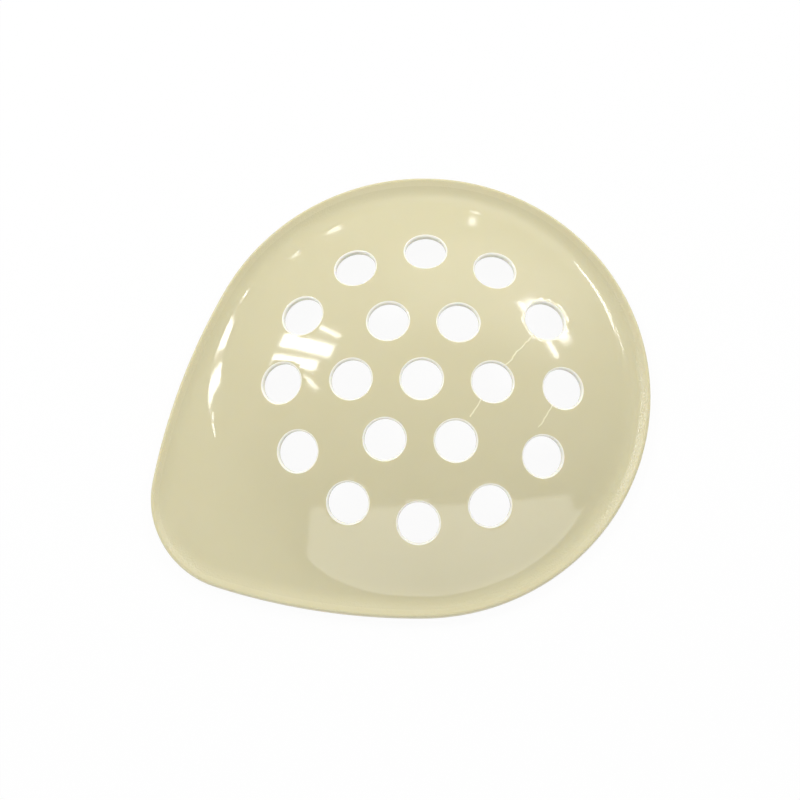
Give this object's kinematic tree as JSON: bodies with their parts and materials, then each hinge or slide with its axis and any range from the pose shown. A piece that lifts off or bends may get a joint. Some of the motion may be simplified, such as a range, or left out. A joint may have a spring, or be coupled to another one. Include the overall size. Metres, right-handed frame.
{
  "type": "surgical eye shield",
  "caption": "Thin domed plastic shield with a teardrop rim and rings of viewing holes, taped over an eye to guard it after surgery.",
  "frame": {"origin": "middle of the footprint, on the surface that the rim rests on", "axes": "+Z out of the dome, away from the eye; +X from the narrow end of the teardrop towards the round end; +Y across it"},
  "size_m": [0.081, 0.07, 0.0099],
  "materials": {
    "ivory_plastic": "gloss"
  },
  "bodies": {
    "root": {"shield_shell": "ivory_plastic"}
  },
  "joints": []
}
